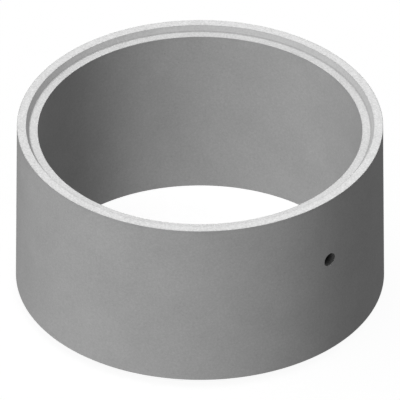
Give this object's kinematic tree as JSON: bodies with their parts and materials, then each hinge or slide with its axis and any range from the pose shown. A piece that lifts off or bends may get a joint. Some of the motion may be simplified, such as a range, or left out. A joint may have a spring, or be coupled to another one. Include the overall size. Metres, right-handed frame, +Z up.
{
  "type": "concrete culvert ring",
  "caption": "Round precast concrete ring standing on end, open right through, with a stepped rebate on top, a tongue at the foot and blind lifting holes in its side.",
  "frame": {"origin": "centre of the tongue's end face, on the ring's axis, where the ring stands", "axes": "+Z up the ring's axis, towards the rebate; +X out through the first lifting hole; +Y completes a right-handed frame"},
  "size_m": [1.0152, 1.0152, 0.5205],
  "materials": {
    "concrete": "smooth vibrated precast concrete, fine grain, matte"
  },
  "bodies": {
    "root": {"concrete_ring": "concrete"}
  },
  "joints": []
}
